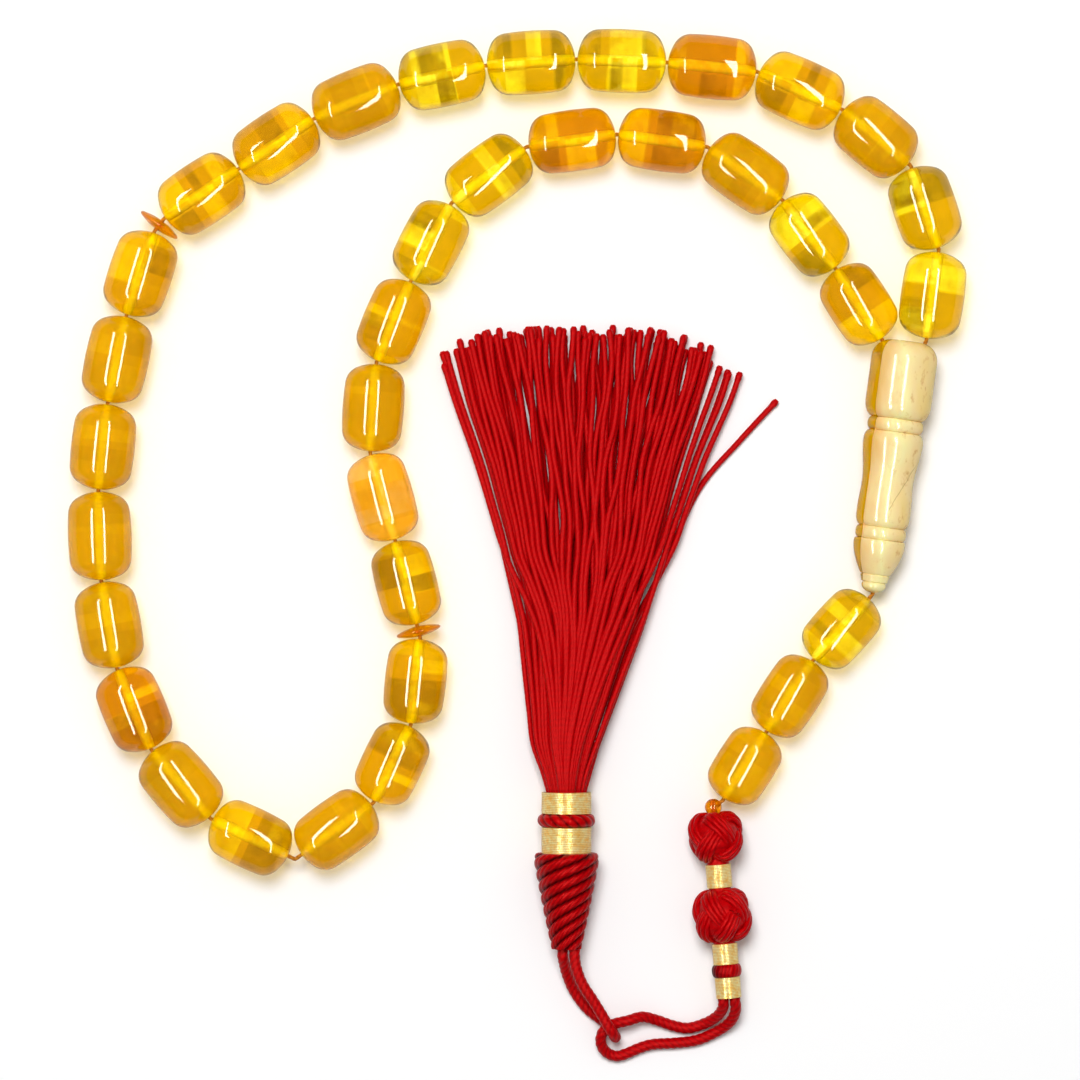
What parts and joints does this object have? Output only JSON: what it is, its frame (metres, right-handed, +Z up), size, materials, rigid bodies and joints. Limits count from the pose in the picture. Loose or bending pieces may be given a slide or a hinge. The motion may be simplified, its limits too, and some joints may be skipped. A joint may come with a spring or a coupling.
{
  "type": "misbaha prayer beads",
  "caption": "Closed string of barrel-shaped amber beads with thin marker discs, a turned two-tone imame, a beaded tail with knot balls and gold sleeves, and a looped-on red tassel.",
  "frame": {"origin": "centre of the string's and tail's outline on the table it lies on, not counting the free link cord and tassel loop", "axes": "+Z up from the table; +Y along the longest extent, from the link cord towards the top of the string; +X towards the imame"},
  "size_m": [0.1438, 0.1656, 0.0107],
  "materials": {
    "amber": "polished clear to milky honey-yellow amber resin",
    "disc_amber": "polished orange amber resin",
    "ivory": "polished cream resin with fine veins",
    "imame_amber": "polished honey-yellow amber resin",
    "thread": "waxed golden-amber stringing thread",
    "gold_thread": "wound metallic gold thread",
    "red_cord": "satin red twisted cord"
  },
  "bodies": {
    "root": {"imame_ivory": "ivory", "imame_amber": "imame_amber", "loop_thread": "thread"},
    "tail": {"tail_thread": "thread", "seed_bead": "amber", "knot_ball_upper": "red_cord", "knot_ball_lower": "red_cord", "gold_sleeve_1": "gold_thread", "gold_sleeve_2": "gold_thread", "gold_sleeve_3": "gold_thread", "cord_ring": "red_cord", "tail_core": "red_cord", "link_cord": "red_cord"},
    "tassel": {"tassel_loop": "red_cord", "cone_knot": "red_cord", "tassel_band_upper": "gold_thread", "tassel_band_lower": "gold_thread", "tassel_ring": "red_cord", "tassel_skirt": "red_cord"},
    "bead_01": {"bead_01": "amber"},
    "bead_02": {"bead_02": "amber"},
    "bead_03": {"bead_03": "amber"},
    "bead_04": {"bead_04": "amber"},
    "bead_05": {"bead_05": "amber"},
    "bead_06": {"bead_06": "amber"},
    "bead_07": {"bead_07": "amber"},
    "bead_08": {"bead_08": "amber"},
    "bead_09": {"bead_09": "amber"},
    "bead_10": {"bead_10": "amber"},
    "bead_11": {"bead_11": "amber"},
    "bead_12": {"bead_12": "amber"},
    "bead_13": {"bead_13": "amber"},
    "bead_14": {"bead_14": "amber"},
    "bead_15": {"bead_15": "amber"},
    "bead_16": {"bead_16": "amber"},
    "bead_17": {"bead_17": "amber"},
    "bead_18": {"bead_18": "amber"},
    "bead_19": {"bead_19": "amber"},
    "bead_20": {"bead_20": "amber"},
    "bead_21": {"bead_21": "amber"},
    "bead_22": {"bead_22": "amber"},
    "bead_23": {"bead_23": "amber"},
    "bead_24": {"bead_24": "amber"},
    "bead_25": {"bead_25": "amber"},
    "bead_26": {"bead_26": "amber"},
    "bead_27": {"bead_27": "amber"},
    "bead_28": {"bead_28": "amber"},
    "bead_29": {"bead_29": "amber"},
    "bead_30": {"bead_30": "amber"},
    "bead_31": {"bead_31": "amber"},
    "bead_32": {"bead_32": "amber"},
    "bead_33": {"bead_33": "amber"},
    "tail_bead_1": {"tail_bead_1": "amber"},
    "tail_bead_2": {"tail_bead_2": "amber"},
    "tail_bead_3": {"tail_bead_3": "amber"},
    "marker_disc_1": {"marker_disc_1": "disc_amber"},
    "marker_disc_2": {"marker_disc_2": "disc_amber"}
  },
  "joints": [
    {"name": "lift_tail", "type": "hinge", "parent": "root", "child": "tail", "pos_m": [0.05691, -0.01313, 0.00474], "axis": [0, 1, 0], "range_deg": [0, 120]},
    {"name": "lift_tassel", "type": "hinge", "parent": "tail", "child": "tassel", "pos_m": [0.01468, -0.08234, 0.003], "axis": [0.848, 0.5299, 0], "range_deg": [0, 150]},
    {"name": "spin_bead_01", "type": "hinge", "parent": "root", "child": "bead_01", "pos_m": [0.0665, 0.03475, 0.0051], "axis": [0.1366, 0.9906, 0], "continuous": true},
    {"name": "spin_bead_02", "type": "hinge", "parent": "root", "child": "bead_02", "pos_m": [0.06525, 0.04875, 0.0051], "axis": [-0.3162, 0.9487, 0], "continuous": true},
    {"name": "spin_bead_03", "type": "hinge", "parent": "root", "child": "bead_03", "pos_m": [0.0575, 0.06, 0.0051], "axis": [-0.774, 0.6332, 0], "continuous": true},
    {"name": "spin_bead_04", "type": "hinge", "parent": "root", "child": "bead_04", "pos_m": [0.04525, 0.0675, 0.0051], "axis": [-0.9138, 0.4061, 0], "continuous": true},
    {"name": "spin_bead_05", "type": "hinge", "parent": "root", "child": "bead_05", "pos_m": [0.03125, 0.07125, 0.0051], "axis": [-0.9947, 0.1029, 0], "continuous": true},
    {"name": "spin_bead_06", "type": "hinge", "parent": "root", "child": "bead_06", "pos_m": [0.01675, 0.07225, 0.0051], "axis": [-0.9994, 0.0345, 0], "continuous": true},
    {"name": "spin_bead_07", "type": "hinge", "parent": "root", "child": "bead_07", "pos_m": [0.00225, 0.072, 0.0051], "axis": [-0.9976, -0.0688, 0], "continuous": true},
    {"name": "spin_bead_08", "type": "hinge", "parent": "root", "child": "bead_08", "pos_m": [-0.012, 0.07, 0.0051], "axis": [-0.9778, -0.2095, 0], "continuous": true},
    {"name": "spin_bead_09", "type": "hinge", "parent": "root", "child": "bead_09", "pos_m": [-0.02575, 0.06575, 0.0051], "axis": [-0.9261, -0.3773, 0], "continuous": true},
    {"name": "spin_bead_10", "type": "hinge", "parent": "root", "child": "bead_10", "pos_m": [-0.0385, 0.059, 0.0051], "axis": [-0.8321, -0.5547, 0], "continuous": true},
    {"name": "spin_bead_11", "type": "hinge", "parent": "root", "child": "bead_11", "pos_m": [-0.0505, 0.051, 0.0051], "axis": [-0.8321, -0.5547, 0], "continuous": true},
    {"name": "spin_bead_12", "type": "hinge", "parent": "root", "child": "bead_12", "pos_m": [-0.06025, 0.03825, 0.0051], "axis": [-0.3162, -0.9487, 0], "continuous": true},
    {"name": "spin_bead_13", "type": "hinge", "parent": "root", "child": "bead_13", "pos_m": [-0.064, 0.0245, 0.0051], "axis": [-0.2095, -0.9778, 0], "continuous": true},
    {"name": "spin_bead_14", "type": "hinge", "parent": "root", "child": "bead_14", "pos_m": [-0.06625, 0.0105, 0.0051], "axis": [-0.1065, -0.9943, 0], "continuous": true},
    {"name": "spin_bead_15", "type": "hinge", "parent": "root", "child": "bead_15", "pos_m": [-0.06675, -0.00375, 0.0051], "axis": [0.0345, -0.9994, 0], "continuous": true},
    {"name": "spin_bead_16", "type": "hinge", "parent": "root", "child": "bead_16", "pos_m": [-0.06525, -0.018, 0.0051], "axis": [0.1758, -0.9844, 0], "continuous": true},
    {"name": "spin_bead_17", "type": "hinge", "parent": "root", "child": "bead_17", "pos_m": [-0.06125, -0.0315, 0.0051], "axis": [0.3896, -0.921, 0], "continuous": true},
    {"name": "spin_bead_18", "type": "hinge", "parent": "root", "child": "bead_18", "pos_m": [-0.05375, -0.0435, 0.0051], "axis": [0.6536, -0.7568, 0], "continuous": true},
    {"name": "spin_bead_19", "type": "hinge", "parent": "root", "child": "bead_19", "pos_m": [-0.04225, -0.05225, 0.00501], "axis": [0.9009, -0.4338, -0.0119], "continuous": true},
    {"name": "spin_bead_20", "type": "hinge", "parent": "root", "child": "bead_20", "pos_m": [-0.02925, -0.051, 0.00492], "axis": [0.8115, 0.5843, 0], "continuous": true},
    {"name": "spin_bead_21", "type": "hinge", "parent": "root", "child": "bead_21", "pos_m": [-0.02, -0.04025, 0.00492], "axis": [0.4327, 0.9015, 0], "continuous": true},
    {"name": "spin_bead_22", "type": "hinge", "parent": "root", "child": "bead_22", "pos_m": [-0.01625, -0.027, 0.00492], "axis": [0.1065, 0.9943, 0], "continuous": true},
    {"name": "spin_bead_23", "type": "hinge", "parent": "root", "child": "bead_23", "pos_m": [-0.01775, -0.01125, 0.00492], "axis": [-0.251, 0.968, 0], "continuous": true},
    {"name": "spin_bead_24", "type": "hinge", "parent": "root", "child": "bead_24", "pos_m": [-0.0215, 0.0025, 0.00492], "axis": [-0.2747, 0.9615, 0], "continuous": true},
    {"name": "spin_bead_25", "type": "hinge", "parent": "root", "child": "bead_25", "pos_m": [-0.023, 0.01675, 0.00492], "axis": [0.0688, 0.9976, 0], "continuous": true},
    {"name": "spin_bead_26", "type": "hinge", "parent": "root", "child": "bead_26", "pos_m": [-0.01975, 0.0305, 0.00492], "axis": [0.3896, 0.921, 0], "continuous": true},
    {"name": "spin_bead_27", "type": "hinge", "parent": "root", "child": "bead_27", "pos_m": [-0.01375, 0.04325, 0.00492], "axis": [0.4614, 0.8872, 0], "continuous": true},
    {"name": "spin_bead_28", "type": "hinge", "parent": "root", "child": "bead_28", "pos_m": [-0.0045, 0.054, 0.00492], "axis": [0.8, 0.6, 0], "continuous": true},
    {"name": "spin_bead_29", "type": "hinge", "parent": "root", "child": "bead_29", "pos_m": [0.00875, 0.0595, 0.00492], "axis": [0.9906, 0.1366, 0], "continuous": true},
    {"name": "spin_bead_30", "type": "hinge", "parent": "root", "child": "bead_30", "pos_m": [0.02325, 0.0595, 0.00492], "axis": [0.9906, -0.1366, 0], "continuous": true},
    {"name": "spin_bead_31", "type": "hinge", "parent": "root", "child": "bead_31", "pos_m": [0.0365, 0.05425, 0.00492], "axis": [0.816, -0.578, 0], "continuous": true},
    {"name": "spin_bead_32", "type": "hinge", "parent": "root", "child": "bead_32", "pos_m": [0.04675, 0.0445, 0.00492], "axis": [0.6114, -0.7913, 0], "continuous": true},
    {"name": "spin_bead_33", "type": "hinge", "parent": "root", "child": "bead_33", "pos_m": [0.05475, 0.03325, 0.00492], "axis": [0.5463, -0.8376, 0], "continuous": true},
    {"name": "spin_tail_bead_1", "type": "hinge", "parent": "tail", "child": "tail_bead_1", "pos_m": [0.05216, -0.01838, 0.00474], "axis": [-0.6709, -0.7415, 0], "continuous": true},
    {"name": "spin_tail_bead_2", "type": "hinge", "parent": "tail", "child": "tail_bead_2", "pos_m": [0.04366, -0.02938, 0.00474], "axis": [-0.5463, -0.8376, 0], "continuous": true},
    {"name": "spin_tail_bead_3", "type": "hinge", "parent": "tail", "child": "tail_bead_3", "pos_m": [0.03641, -0.04063, 0.00474], "axis": [-0.5369, -0.8437, 0], "continuous": true},
    {"name": "spin_marker_disc_1", "type": "hinge", "parent": "root", "child": "marker_disc_1", "pos_m": [-0.05725, 0.046, 0.0051], "axis": [-0.6, -0.8, 0], "continuous": true},
    {"name": "spin_marker_disc_2", "type": "hinge", "parent": "root", "child": "marker_disc_2", "pos_m": [-0.01575, -0.019, 0.00492], "axis": [-0.2425, 0.9701, 0], "continuous": true}
  ]
}
